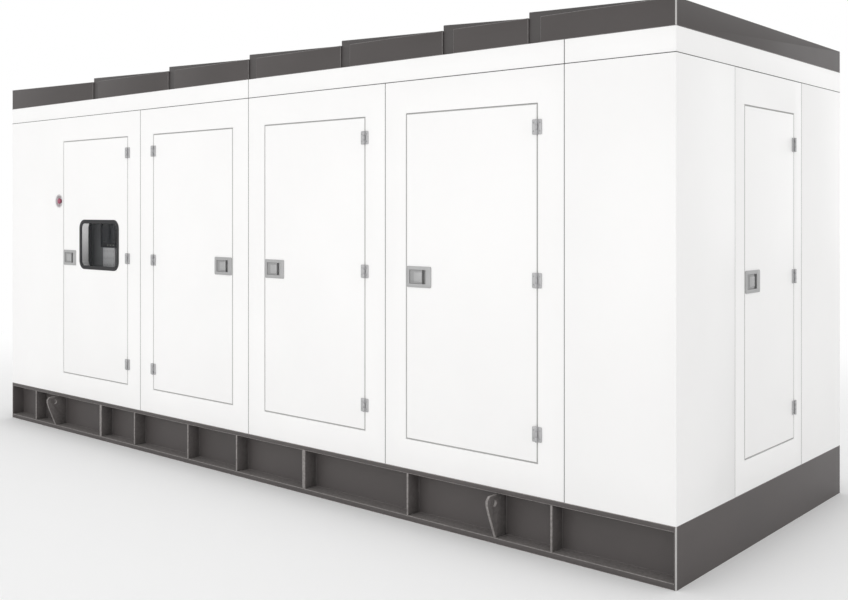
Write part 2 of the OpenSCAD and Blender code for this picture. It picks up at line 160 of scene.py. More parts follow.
bm = bmesh.new()
bmesh.ops.create_grid(bm, x_segments=2, y_segments=2, size=floor_reach)
mesh = bpy.data.meshes.new("studio_floor")
bm.to_mesh(mesh)
bm.free()
mesh.materials.append(backdrop)
floor = bpy.data.objects.new("studio_floor", mesh)
bpy.context.scene.collection.objects.link(floor)

for name, (spot, size, power) in softboxes.items():
    hang(name, spot, middle_of_set, size, power)
hang("controls_lamp",
     (pane_high.x - controls_lamp_in, (pane_high.y + 2 * cabinet_low.y) / 3,
      pane_high.z - controls_lamp_in / 2),
     (pane_low.x, pane_high.y, pane_high.z), (controls_lamp_side, controls_lamp_side),
     controls_lamp_power, controls_lamp_spread)


# ---- skid rails
# Each side rail is a deep channel welded up from plate, open outwards, with thick flanges and
# a web well back from their edges. It is shot-blasted and painted satin charcoal.
fixed = "canopy_and_skid"
charcoal = (0.090, 0.081, 0.079)
rail_web_t = 0.010
rail_root = 0.004
rail_toe = 0.0035
dust_and_painted_light = 0.45
close = 1e-4
long_run = 0.05
shaded_fold = 50
patch_scale = 1.7
patch_range = (0.3, 0.7)
speck_scale = 60
speck_range = (0.35, 0.6)
least_mark_share = 0.6
flange_low, flange_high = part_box("skid_top_flanges")
foot_low, foot_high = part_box("skid_bottom_flanges")
web_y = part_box("skid_webs")[0].y


def start():
    """A new mesh whose face corners can be marked to take a coat's edge colour, for scuffed paint and
    painted highlights.
    """
    bm = bmesh.new()
    bm.loops.layers.float.new("edge")
    return bm


def verts_in(parts):
    """The vertices among some parts of a mesh."""
    return [part for part in parts if isinstance(part, bmesh.types.BMVert)]


def runs(edge, axis, least):
    """Whether an edge runs more than so far along an axis."""
    return abs(edge.verts[0].co[axis] - edge.verts[1].co[axis]) > least


def looks(face, axis, way=0):
    """Whether a face looks along an axis: forwards, backwards, or for 0 either way."""
    return (face.normal[axis] * way if way else abs(face.normal[axis])) > 0.9


def rounded(bm, edges, radius, segments, smooth=True, affect="EDGES", clamp_overlap=False):
    """Rounds edges, or corners, and returns the new faces."""
    made = bmesh.ops.bevel(bm, geom=list(edges), offset=radius, offset_type="OFFSET",
                           segments=segments, profile=0.5, affect=affect, material=-1,
                           clamp_overlap=clamp_overlap)["faces"]
    for face in made:
        face.smooth = smooth
    return made


def round_edges(bm, edges, radius, segments=2):
    """Rounds edges, marks the new faces for the coat's edge colour, and returns them."""
    made = rounded(bm, edges, radius, segments, clamp_overlap=True)
    edge = bm.loops.layers.float["edge"]
    for face in made:
        for loop in face.loops:
            loop[edge] = 1.0
    return made


def mark_faces(bm, amount, test):
    """Marks whole faces by so much for the coat's edge colour, where the test picks them; it paints
    scuffs, dust and painted light.
    """
    bm.normal_update()
    edge = bm.loops.layers.float["edge"]
    for face in bm.faces:
        if test(face):
            for loop in face.loops:
                loop[edge] = amount


def mirror_over(bm, axis):
    """Adds a copy of everything on the other side of the set: 0 over X, 1 over Y."""
    made = bmesh.ops.duplicate(bm, geom=bm.verts[:] + bm.edges[:] + bm.faces[:])["geom"]
    bmesh.ops.scale(bm, vec=[-1 if i == axis else 1 for i in range(3)], verts=verts_in(made))
    bmesh.ops.reverse_faces(bm, faces=[f for f in made if isinstance(f, bmesh.types.BMFace)])


def keep(bm, name, body, coats, slot, *stands_for):
    """Makes the mesh a piece of the set, with its coats, riding on a body."""
    mesh = bpy.data.meshes.new(name)
    bm.to_mesh(mesh)
    bm.free()
    if "custom_normal" in mesh.attributes:
        mesh.attributes.remove(mesh.attributes["custom_normal"])
    mesh.set_sharp_from_angle(angle=math.radians(shaded_fold))
    for finish in coats if isinstance(coats, tuple) else (coats,):
        mesh.materials.append(finish)
    piece = bpy.data.objects.new(name, mesh)
    bpy.context.scene.collection.objects.link(piece)
    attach(piece, body)
    if stands_for:
        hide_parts(*stands_for)


def blend_colours(tree, share, first, second):
    """A colour that goes from the first to the second, each a socket or a plain colour."""
    first, second = [(*c, 1) if isinstance(c, tuple) else c for c in (first, second)]
    return add(tree, "ShaderNodeMix", {0: share, 6: first, 7: second}, data_type="RGBA").outputs[2]


def scaled(tree, value, low, high, to_low, to_high):
    """Maps a value from one range to another, and holds it there."""
    return add(tree, "ShaderNodeMapRange", {"Value": value, "From Min": low, "From Max": high,
                                            "To Min": to_low, "To Max": to_high}).outputs[0]


def grain(tree, place, scale, detail=2):
    """Noise over the piece, finer with a larger scale."""
    return add(tree, "ShaderNodeTexNoise",
               {"Vector": place, "Scale": scale, "Detail": detail}).outputs[0]


def coat(name, colour, roughness=0.45, metallic=0.0, uneven=0.06, wear_and_highlight=None, wear_and_highlight_share=0.5,
         grain_size=0.0015, grain_depth=0.00004, specular=0.5):
    """A finish with patchy colour and sheen, a fine raised grain, and a second, mostly lighter colour
    on marked edges, for scuffed paint and painted highlights.
    """
    made = bpy.data.materials.new(name)
    made.use_nodes = True
    tree = made.node_tree
    place = add(tree, "ShaderNodeTexCoord").outputs["Object"]
    patches = grain(tree, place, patch_scale, 4)
    dark = tuple(c * (1 - uneven) for c in colour)
    light = tuple(min(1, c * (1 + uneven)) for c in colour)
    paint = blend_colours(tree, scaled(tree, patches, *patch_range, 0, 1), dark, light)
    # On marked edges a second colour stands for scuffed paint and, on some coats, a painted highlight.
    if wear_and_highlight:
        edge = add(tree, "ShaderNodeAttribute", attribute_name="edge").outputs["Fac"]
        specks = scaled(tree, grain(tree, place, speck_scale), *speck_range,
                        wear_and_highlight_share * least_mark_share, wear_and_highlight_share)
        wear_and_highlight_mark = add(tree, "ShaderNodeMath", {0: edge, 1: specks}, operation="MULTIPLY")
        paint = blend_colours(tree, wear_and_highlight_mark.outputs[0], paint, wear_and_highlight)
    sheen = scaled(tree, patches, *patch_range, roughness * 0.9, roughness * 1.1)
    bump = add(tree, "ShaderNodeBump", {"Height": grain(tree, place, 1 / grain_size),
                                        "Strength": 1.0, "Distance": grain_depth})
    fill(tree, tree.nodes["Principled BSDF"], {
        "Base Color": paint, "Roughness": sheen, "Normal": bump.outputs[0],
        "Metallic": metallic, "Specular IOR Level": specular})
    return made


def rail_edges(bm, at_web):
    """The long edges of a rail, either those in its web's face or all the others."""
    return [e for e in bm.edges if runs(e, 0, long_run)
            and (abs(e.verts[0].co.y - web_y) < close) == at_web]


# The charcoal's edge colour is a light grey: scuffed paint, and a painted highlight along the flange
# and plate edges.
skid_paint = coat("skid_paint", charcoal, roughness=0.5, uneven=0.10, wear_and_highlight=(0.33, 0.31, 0.30),
                  wear_and_highlight_share=0.9, grain_size=0.002, specular=0.3)
bm = start()
outline = [(flange_low.y, foot_low.z), (web_y + rail_web_t, foot_low.z),
           (web_y + rail_web_t, flange_high.z), (flange_low.y, flange_high.z),
           (flange_low.y, flange_low.z), (web_y, flange_low.z),
           (web_y, foot_high.z), (flange_low.y, foot_high.z)]
section = bm.faces.new([bm.verts.new((flange_low.x, y, z)) for y, z in outline])
drawn = bmesh.ops.extrude_face_region(bm, geom=[section])["geom"]
bmesh.ops.translate(bm, vec=(flange_high.x - flange_low.x, 0, 0), verts=verts_in(drawn))
bmesh.ops.recalc_face_normals(bm, faces=bm.faces)
round_edges(bm, rail_edges(bm, False), rail_toe)
# Upward faces of the bottom flange are lighter: dust settled there, and painted light where the top
# flange shades them.
mark_faces(bm, dust_and_painted_light, lambda face: looks(face, 2, 1) and face.calc_center_median().z < flange_low.z)
rounded(bm, rail_edges(bm, True), rail_root, 3)
mirror_over(bm, 1)
keep(bm, "skid_rails", fixed, skid_paint, "skid_paint",
     "skid_top_flanges", "skid_webs", "skid_bottom_flanges")


# ---- skid ends
# A thick plate closes the skid at each end. Its cut edges stand out past the rails. The upright edges
# at the set's corners take a light grey coat: a painted highlight, and also paint scuffed bare where
# the skid is dragged and lifted.
plate_corner = 0.006
end_plate_edge = 0.002
corner_highlight = coat("corner_painted_highlight", (0.50, 0.49, 0.48), uneven=0.15)


def copy_of(node):
    """A CAD node's shape as a clean mesh of whole faces."""
    bm = bmesh.new()
    bm.from_mesh(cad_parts[node].data)
    bmesh.ops.remove_doubles(bm, verts=bm.verts, dist=1e-5)
    bmesh.ops.dissolve_limit(bm, angle_limit=math.radians(1), verts=bm.verts, edges=bm.edges)
    bm.loops.layers.float.new("edge")
    for face in bm.faces:
        face.smooth = False
        face.material_index = 0
    bm.normal_update()
    return bm


def sharp(bm, least=30):
    """The edges where two faces meet at more than so many degrees."""
    bm.normal_update()
    return [e for e in bm.edges if e.is_manifold and e.calc_face_angle(0) > math.radians(least)]


def corner_edges(bm):
    """The upright edges at the outer corners of the set."""
    return [e for e in bm.edges if runs(e, 2, long_run)
            and all(abs(abs(v.co[i]) - wall_high[i]) < close for v in e.verts for i in (0, 1))]


def round_plate(bm, radius, highlight_coat):
    """Rounds the edges of a folded plate, and the set's outer corners, which take a light coat as a
    painted highlight and scuffed bare paint.
    """
    corners = corner_edges(bm)
    round_edges(bm, [e for e in sharp(bm) if e not in corners], radius)
    for face in round_edges(bm, corner_edges(bm), plate_corner):
        face.material_index = highlight_coat


bm = copy_of("skid_end_plates")
round_plate(bm, end_plate_edge, 1)
keep(bm, "skid_end_plates_painted", fixed, (skid_paint, corner_highlight), "skid_paint", "skid_end_plates")


# ---- stiffeners and lifting lugs
# Upright plates stiffen each rail's web, and two of them are doubled. The lifting lugs are
# cut from thicker plate with an eye. All are welded in with a run of fillet weld.
plate_edge = 0.002
weld_leg = 0.004
weld_back = 0.012
weld_paint = coat("weld_paint", charcoal, roughness=0.5, uneven=0.2, grain_size=0.004,
                  grain_depth=0.0006)


def solids(node):
    """The box of each separate solid of a CAD node."""
    bm = copy_of(node)
    left = set(bm.verts)
    boxes = []
    while left:
        group = [left.pop()]
        for vert in group:
            joined = {e.other_vert(vert) for e in vert.link_edges} & left
            left -= joined
            group += joined
        boxes.append([Vector([pick(v.co[i] for v in group) for i in range(3)]) for pick in (min, max)])
    bm.free()
    return sorted(boxes, key=lambda box: tuple(round(c, 4) for c in box[0]))


def bead(bm, low, high):
    """A run of weld from one point to another."""
    low, high = Vector(low), Vector(high)
    made = bmesh.ops.create_cone(bm, cap_ends=True, segments=8, radius1=weld_leg, radius2=weld_leg,
                                 depth=(high - low).length)["verts"]
    turn = (high - low).to_track_quat("Z", "Y").to_matrix().to_4x4()
    bmesh.ops.transform(bm, matrix=Matrix.Translation((low + high) / 2) @ turn, verts=made)
    for vert in made:
        for face in vert.link_faces:
            face.smooth = len(face.verts) == 4


# Cut edges of the plates take the light edge colour, as scuffed paint and a painted highlight; their
# sides facing along the rail are lightened as painted light, against the shade of the recess.
for node, edge_wear_and_highlight, painted_side_light, on_edge in (
        ("skid_stiffeners", 0.85, 0.2, lambda face: looks(face, 1)),
        ("lifting_lugs", 0.9, 0.3, lambda face: abs(face.normal.x) < 0.5 and face.normal.z > -0.6)):
    bm = copy_of(node)
    mark_faces(bm, edge_wear_and_highlight, on_edge)
    mark_faces(bm, painted_side_light, lambda face: looks(face, 0))
    round_edges(bm, sharp(bm), plate_edge)
    keep(bm, node + "_painted", fixed, skid_paint, "skid_paint", node)

bm = start()
for low, high in solids("skid_stiffeners") + solids("lifting_lugs"):
    side = 1 if low.y < 0 else -1
    web = web_y * side
    toe = (web + 2 * (flange_low.y + weld_back) * side) / 3
    for x in (low.x, high.x):
        bead(bm, (x, web, low.z + weld_leg), (x, web, high.z - weld_leg))
        bead(bm, (x, web, low.z), (x, toe, low.z))
keep(bm, "skid_welds", fixed, weld_paint, "skid_paint")


# ---- deck and cross beams
# The floor inside is raised-bar tread plate on cross beams of folded channel.
tread_scale = 38.0
tread_height = 0.0015
deck_paint = coat("deck_paint", (0.085, 0.085, 0.088), roughness=0.55, uneven=0.25,
                  wear_and_highlight=(0.30, 0.30, 0.30))
tree = deck_paint.node_tree
shader = tree.nodes["Principled BSDF"]
place = add(tree, "ShaderNodeTexCoord").outputs["Object"]
slant = add(tree, "ShaderNodeMapping", {"Vector": place, "Rotation": (0, 0, math.radians(45))})
bars = add(tree, "ShaderNodeTexChecker", {"Vector": slant.outputs[0], "Scale": tread_scale})
tread = add(tree, "ShaderNodeBump", {
    "Height": bars.outputs["Fac"], "Strength": 0.5, "Distance": tread_height,
    "Normal": shader.inputs["Normal"].links[0].from_socket})
fill(tree, shader, {"Normal": tread.outputs[0]})


def paint_node(node, finish):
    """Gives a CAD node a finish in place of its plain one."""
    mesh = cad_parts[node].data
    if mesh.materials:
        mesh.materials[0] = finish
    else:
        mesh.materials.append(finish)


paint_node("deck_plate", deck_paint)
paint_node("skid_cross_beams", skid_paint)


# ---- wall cores
# Behind the outer sheets stands a core of mineral wool with a galvanised, perforated inner
# skin. The folded frame round each doorway is powder coated white.
sheet_t = 0.006
wall_t = 0.075
wall_foot = flange_high.z
roof_foot = wall_high.z
front, rear, near, far = wall_low.y, wall_high.y, wall_high.x, wall_low.x
door_gap = 0.007
hole_pitch = 0.009
hole_rim = (0.24, 0.30)
white_paint = (0.92, 0.914, 0.908)

wall_coat = coat("canopy_white", white_paint, roughness=0.38, uneven=0.012,
                 wear_and_highlight=(0.80, 0.795, 0.785), wear_and_highlight_share=0.4, grain_size=0.0012, grain_depth=0.00003)
white_steel = (wall_coat, "canopy_paint")
lining = coat("perforated_lining", (0.46, 0.47, 0.475), roughness=0.42, metallic=0.75, uneven=0.08,
              grain_size=0.02, grain_depth=0.0002)
tree = lining.node_tree
shader = tree.nodes["Principled BSDF"]
place = add(tree, "ShaderNodeTexCoord").outputs["Object"]
split = add(tree, "ShaderNodeSeparateXYZ", {0: place}).outputs
along = add(tree, "ShaderNodeMath", {0: split["X"], 1: split["Y"]}, operation="ADD")
flat = add(tree, "ShaderNodeCombineXYZ", {"X": along.outputs[0], "Y": split["Z"]})
pitch = add(tree, "ShaderNodeVectorMath", {0: flat.outputs[0], "Scale": 1 / hole_pitch},
            operation="SCALE")
cell = add(tree, "ShaderNodeVectorMath", {0: pitch.outputs[0]}, operation="FRACTION")
middle = add(tree, "ShaderNodeVectorMath", {0: cell.outputs[0], 1: (0.5, 0.5, 0)},
             operation="DISTANCE")
hole = scaled(tree, middle.outputs["Value"], *hole_rim, 1, 0)
skin = shader.inputs["Base Color"].links[0].from_socket
fill(tree, shader, {"Base Color": blend_colours(tree, hole, skin, (0.05, 0.05, 0.05))})
lined_steel = ((wall_coat, lining), "canopy_paint")


def slab(bm, low, high):
    """A plain block between two corners."""
    low, high = Vector(low), Vector(high)
    made = bmesh.ops.create_cube(bm, size=1)["verts"]
    bmesh.ops.scale(bm, vec=high - low, verts=made)
    bmesh.ops.translate(bm, vec=(low + high) / 2, verts=made)


def score(bm, low, high, across=(0, 2)):
    """Cuts a mesh along the planes of a rectangle, on two axes."""
    for axis in across:
        normal = [1 if i == axis else 0 for i in range(3)]
        for spot in (low, high):
            bmesh.ops.bisect_plane(bm, geom=bm.verts[:] + bm.edges[:] + bm.faces[:], dist=1e-6,
                                   plane_co=spot, plane_no=normal)
    bm.normal_update()


def within(face, low, high, across=(0, 2)):
    """Whether a face's middle lies in a rectangle, on two axes."""
    spot = face.calc_center_median()
    return all(low[i] < spot[i] < high[i] for i in across)


def pierce(bm, low, high, axis=1):
    """Cuts a hole right through a slab along an axis and lines its sides."""
    across = tuple(i for i in range(3) if i != axis)
    score(bm, low, high, across)
    gone = [f for f in bm.faces if looks(f, axis) and within(f, low, high, across)]
    bmesh.ops.delete(bm, geom=gone, context="FACES_ONLY")
    bmesh.ops.bridge_loops(bm, edges=[e for e in bm.edges if e.is_boundary])
    bmesh.ops.delete(bm, geom=[e for e in bm.edges if e.is_wire], context="EDGES")
    bm.normal_update()


def line_inside(bm, axis):
    """Gives the inner skin its own coat, on a wall across an axis."""
    for face in bm.faces:
        if looks(face, axis) and abs(face.calc_center_median()[axis]) < wall_high[axis] - wall_t / 2:
            face.material_index = 1


room = Vector((door_gap, 0, door_gap))
front_leaves = [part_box("door_%d_leaf" % i) for i in (1, 2, 3, 4)]
doorways = [(low - room, high + room) for low, high in front_leaves]
room = Vector((0, door_gap, door_gap))
end_leaf_low, end_leaf_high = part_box("end_door_leaf")
end_doorway = (end_leaf_low - room, end_leaf_high + room)

cup_d = 0.034
cup_fit = 0.0005
flange_past_cup = 0.006
collar_low, collar_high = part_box("stop_collars")
collar_r = (collar_high.x - collar_low.x) / 2
cup_r = collar_r - flange_past_cup
cup_axis = (collar_low + collar_high) / 2
cup_hole = cup_r + cup_fit
cup_room = [cup_axis + Vector((out, 0, out)) for out in (-cup_hole, cup_hole)]

bm = start()
slab(bm, (far + sheet_t, front + sheet_t, wall_foot), (near - sheet_t, front + wall_t, roof_foot))
for low, high in doorways:
    pierce(bm, low, high)
line_inside(bm, 1)
score(bm, *cup_room)
pocket = [f for f in bm.faces if looks(f, 1, -1) and within(f, *cup_room)]
bmesh.ops.inset_individual(bm, faces=pocket, thickness=0, depth=-cup_d)
mirror_over(bm, 1)
keep(bm, "long_wall_cores", fixed, *lined_steel, "front_piers", "rear_piers")

bm = start()
slab(bm, (near - wall_t, front + wall_t, wall_foot), (near - sheet_t, rear - wall_t, roof_foot))
pierce(bm, *end_doorway, axis=0)
line_inside(bm, 0)
mirror_over(bm, 0)
keep(bm, "end_wall_cores", fixed, *lined_steel, "end_piers")


# ---- outer wall sheets
# The outer skin is folded steel sheet, powder coated gloss white. Each bay of a long wall is
# one sheet round its doorway, and the corners are folded so that no seam shows there.
seam = 0.004
half = seam / 2
bend = 0.005
sheet_edge = 0.0016
square_fold = 60
cup_hole_facets = 8
bay = front_leaves[3][0].x - front_leaves[2][0].x
end_bay = 0.900
band_foot = wall_low.z
far_seam, band_seam, near_seam = [(low.x + high.x + bay) / 2 for low, high in
                                  (front_leaves[0], front_leaves[1], front_leaves[3])]


def at_face(spot, axis):
    """Whether a point lies in the outer face of the walls, across an axis."""
    return abs(spot[axis]) > wall_high[axis] - close


def folded_sheet(bm, outer, foot, head):
    """An upright sheet along the outer line, folded round the set's corners."""
    inner = [[c - math.copysign(sheet_t, c) if at_face(spot, i) else c for i, c in enumerate(spot)]
             for spot in reversed(outer)]
    lid = bm.faces.new([bm.verts.new((x, y, foot)) for x, y in outer + inner])
    risen = verts_in(bmesh.ops.extrude_face_region(bm, geom=[lid])["geom"])
    bmesh.ops.translate(bm, vec=(0, 0, head - foot), verts=risen)
    faces = {f for v in risen for f in v.link_faces} | {lid}
    bmesh.ops.recalc_face_normals(bm, faces=list(faces))
    folds = [e for v in risen for e in v.link_edges
             if runs(e, 2, long_run) and at_face(v.co, 0) and at_face(v.co, 1)]
    rounded(bm, folds, bend, 4)


def put(bm, part, place=None, number=None):
    """Joins a part into a mesh at its place, right side out, in one of the piece's coats."""
    if number is not None:
        for face in part.faces:
            face.material_index = number
    if place:
        bmesh.ops.transform(part, matrix=place, verts=part.verts)
        if place.determinant() < 0:
            bmesh.ops.reverse_faces(part, faces=part.faces)
    scratch = bpy.data.meshes.new("scratch")
    part.to_mesh(scratch)
    part.free()
    bm.from_mesh(scratch)
    bpy.data.meshes.remove(scratch)


def facing_out(bm, face, axis):
    """The sharp edges that lie in an outer face, across an axis."""
    return [e for e in sharp(bm, square_fold) if all(abs(v.co[axis] - face) < close for v in e.verts)]


bm = start()
for low, high in doorways[1:]:
    part = start()
    middle = (low.x + high.x) / 2
    slab(part, (middle - bay / 2 + half, front, wall_foot),
         (middle + bay / 2 - half, front + sheet_t, band_foot))
    pierce(part, low, high)
    round_edges(part, facing_out(part, front, 1), sheet_edge)
    put(bm, part)
mirror_over(bm, 1)
keep(bm, "bay_sheets", fixed, *white_steel, "door_lintels", "door_sills")

bm = start()
folded_sheet(bm, [(near_seam + half, front), (near, front), (near, -end_bay / 2 - half)],
             wall_foot, band_foot)
part = start()
folded_sheet(part, [(far_seam - half, front), (far, front), (far, -end_bay / 2 - half)],
             wall_foot, band_foot)
pierce(part, *doorways[0])
pierce(part, *cup_room)
corners = [e for e in part.edges if runs(e, 1, sheet_t / 2)
           and all(abs(abs((v.co - cup_axis)[i]) - cup_hole) < close for v in e.verts for i in (0, 2))]
rounded(part, corners, cup_hole - close / 2, cup_hole_facets, smooth=False)
bmesh.ops.remove_doubles(part, verts=part.verts[:], dist=3 * close)
put(bm, part)
round_edges(bm, facing_out(bm, front, 1), sheet_edge)
for end in (near, far):
    round_edges(bm, [e for e in facing_out(bm, end, 0) if e.is_valid], sheet_edge)
mirror_over(bm, 1)
keep(bm, "corner_sheets", fixed, *white_steel)

bm = start()
slab(bm, (near - sheet_t, -end_bay / 2 + half, wall_foot), (near, end_bay / 2 - half, band_foot))
pierce(bm, *end_doorway, axis=0)
round_edges(bm, facing_out(bm, near, 0), sheet_edge)
mirror_over(bm, 0)
keep(bm, "end_bay_sheets", fixed, *white_steel)


# ---- top band
# A folded band closes the wall tops under the roof. It runs round both ends in one length and
# has upright seams on the long sides.
bm = start()
band_sheet_foot = band_foot + seam
for ends_at, end in ((near_seam + half, near), (band_seam - half, far)):
    folded_sheet(bm, [(ends_at, front), (end, front), (end, rear), (ends_at, rear)],
                 band_sheet_foot, roof_foot)
for y in (front, rear - sheet_t):
    slab(bm, (band_seam + half, y, band_sheet_foot), (near_seam - half, y + sheet_t, roof_foot))
round_edges(bm, sharp(bm, square_fold), sheet_edge)
keep(bm, "top_band_sheets", fixed, *white_steel, "side_bands", "end_bands")


# ---- seam sealant
# The seams between the sheets are filled with sealing compound from a gun, struck off just below the
# face. It is coloured dark grey as painted shade in the seams.
sealant_in = 0.001
seam_shade_sealant = coat("seam_sealant_painted_shade", (0.05, 0.05, 0.05), roughness=0.6, uneven=0.2, grain_size=0.003,
               grain_depth=0.0002)
outer, inner = front + sealant_in, front + sheet_t + sealant_in
end_outer, end_inner = near - sealant_in, near - sheet_t - sealant_in
bm = start()
for x, head in ((far_seam, band_foot), (band_seam, roof_foot), (near_seam - bay, band_foot),
                (near_seam, roof_foot)):
    slab(bm, (x - half, outer, wall_foot), (x + half, inner, head))
slab(bm, (far + sealant_in, outer, band_foot), (end_outer, inner, band_sheet_foot))
mirror_over(bm, 1)
ends = start()
for y in (-end_bay / 2, end_bay / 2):
    slab(ends, (end_inner, y - half, wall_foot), (end_outer, y + half, band_foot))
slab(ends, (end_inner, inner, band_foot), (end_outer, -inner, band_sheet_foot))
mirror_over(ends, 0)
put(bm, ends)
keep(bm, "seam_sealant_painted_shade", fixed, seam_shade_sealant, "rubber_seal")


# ---- roof caps
# Seven caps of folded sheet step along the roof, painted charcoal. A level fascia stands proud of each
# cap's sides and stops short of the step, so the sheet behind shows there; that set-back sheet is
# coloured darker as painted shade.
cap_edge = 0.003
fascia_d = 0.008
roof_shade = 0.85
set_back_shade = 0.62
roof_paint = coat("roof_paint", tuple(c * roof_shade for c in charcoal), roughness=0.5, uneven=0.08,
                  wear_and_highlight=(0.26, 0.25, 0.245), wear_and_highlight_share=0.7, grain_size=0.002, specular=0.25)
set_back_painted_shade = coat("roof_set_back_painted_shade", tuple(c * set_back_shade for c in charcoal), roughness=0.5,
                       uneven=0.1, grain_size=0.002)
for i in range(1, 8):
    node = "roof_cap_%d" % i
    bm = copy_of(node)
    # Set-back faces behind the fascia take the darker coat, a painted shade; the outer corners take
    # the light coat, a painted highlight.
    for face in bm.faces:
        if looks(face, 1) and abs(face.calc_center_median().y) < rear - fascia_d / 2:
            face.material_index = 1
    round_plate(bm, cap_edge, 2)
    keep(bm, node + "_folded", fixed, (roof_paint, set_back_painted_shade, corner_highlight), "roof_paint", node)


# ---- doorways
# Inside each doorway a folded stop is screwed round the opening. A black rubber seal is
# pressed onto it, and the door closes against the seal.
leaf_t = 0.050
stop_gap = 0.005
stop_d = 0.020
stop_w = 0.021
stop_bend = 0.002
seal_t = 0.004
seal_lap = 0.001
seal_from_edge = 0.009
seal_w = 0.010
seal_round = 0.0018
leaf_h = front_leaves[0][1].z - front_leaves[0][0].z
opening_doors = ("door_1", "door_2", "door_3", "door_4", "end_door")
turned_latch = "door_2"


def door_place(name):
    """From a door's own axes to the set's: x from its pin, y into the wall, z up its leaf."""
    low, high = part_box(name + "_leaf")
    if name == "end_door":
        across, inwards = (0, -1, 0, high.x), (-1, 0, 0, high.y + door_gap / 2)
    else:
        hinge_low, hinge_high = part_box(name + "_hinges")
        way = -1 if hinge_low.x + hinge_high.x > low.x + high.x else 1
        edge = high.x if way < 0 else low.x
        across, inwards = (way, 0, 0, edge - way * door_gap / 2), (0, 1, 0, low.y)
    return Matrix((across, inwards, (0, 0, 1, low.z), (0, 0, 0, 1)))


def door_width(name):
    """The width of a door's leaf."""
    low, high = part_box(name + "_leaf")
    return max(high.x - low.x, high.y - low.y)


to_rear = Matrix.Diagonal((1, -1, 1, 1))
to_far_end = Matrix.Diagonal((-1, 1, 1, 1))
places = {name: door_place(name) for name in opening_doors}
shut_places = {name: (to_far_end if name == "end_door" else to_rear) @ places[name]
               for name in opening_doors}


def frame_ring(name, inset, across, near_y, far_y, radius, segments):
    """A rectangular ring round a doorway, in the door's own axes, with its front edges rounded."""
    bm = start()
    low = Vector((inset - door_gap / 2, near_y, inset - door_gap))
    high = Vector((door_width(name) + 1.5 * door_gap - inset, far_y, leaf_h + door_gap - inset))
    reach = Vector((across, 0, across))
    slab(bm, low, high)
    pierce(bm, low + reach, high - reach)
    round_edges(bm, facing_out(bm, near_y, 1), radius, segments)
    return bm


rubber = coat("door_seal_rubber", (0.028, 0.028, 0.03), roughness=0.62, uneven=0.15,
              grain_depth=0.0001)
stop_front = leaf_t + stop_gap
seal_back = stop_front + seal_t
bm = start()
seals = start()
for name in opening_doors:
    for place in (places[name], shut_places[name]):
        put(bm, frame_ring(name, 0, stop_w, seal_back, stop_front + stop_d, stop_bend, 2), place)
        put(seals, frame_ring(name, seal_from_edge, seal_w, stop_front, seal_back + seal_lap,
                              seal_round, 3), place)
keep(bm, "doorway_stops", fixed, *white_steel, "door_stops")
keep(seals, "doorway_seals", fixed, rubber, "rubber_seal")


# ---- door leaves
# A door is a folded steel tray with a perforated lining inside, powder coated like the walls.
# Its front is sunk for the latch's pan, and the control door has a hole for its window.
leaf_bend = 0.003
lining_from_edge = 0.030
lining_in = 0.002
control_door = "door_1"
leaf_low, leaf_high = front_leaves[0]
latch_low, latch_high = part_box(control_door + "_latch")
latch_w, latch_h = latch_high.x - latch_low.x, latch_high.z - latch_low.z
latch_inset = latch_low.x - leaf_low.x
latch_foot = latch_low.z - leaf_low.z
pan_margin = 0.038
pan_rim = 0.020
pan_wall = 0.0025
pan_sink = 0.0165
window_r = 0.060
window_facets = 10
gasket_w = 0.022
gasket_lap = gasket_w / 3
window_low, window_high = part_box("window_gasket")
control_pin = leaf_high.x + door_gap / 2
window_span = (control_pin - window_high.x + gasket_lap, control_pin - window_low.x - gasket_lap)
window_rise = (window_low.z - leaf_low.z + gasket_lap, window_high.z - leaf_low.z - gasket_lap)


def sunk(bm, low, high, depth):
    """Sinks a rectangle of a front face by a depth, and returns the sunk face."""
    middle = (Vector(low) + Vector(high)) / 2

    def hit():
        return next(f for f in bm.faces if looks(f, 1, -1)
                    and abs(f.calc_center_median().y - low[1]) < close
                    and bmesh.geometry.intersect_face_point(f, middle))

    for axis, spot in ((0, low), (0, high), (2, low), (2, high)):
        normal = [1 if i == axis else 0 for i in range(3)]
        face = hit()
        bmesh.ops.bisect_plane(bm, geom=[face] + face.edges[:] + face.verts[:], dist=1e-6,
                               plane_co=spot, plane_no=normal)
    face = hit()
    bmesh.ops.inset_individual(bm, faces=[face], thickness=0, depth=-depth)
    return face


def latch_corner(name):
    """How far a door's latch stands from its pin, and whether the latch is turned round."""
    return door_gap / 2 + door_width(name) - latch_inset - latch_w, name == turned_latch


def pan_span(name):
    """Where the sunk place for a latch's pan starts and ends across its door."""
    x, turned = latch_corner(name)
    first = pan_rim if turned else pan_margin
    last = latch_w - (pan_margin if turned else pan_rim)
    return x + first - pan_wall, x + last + pan_wall


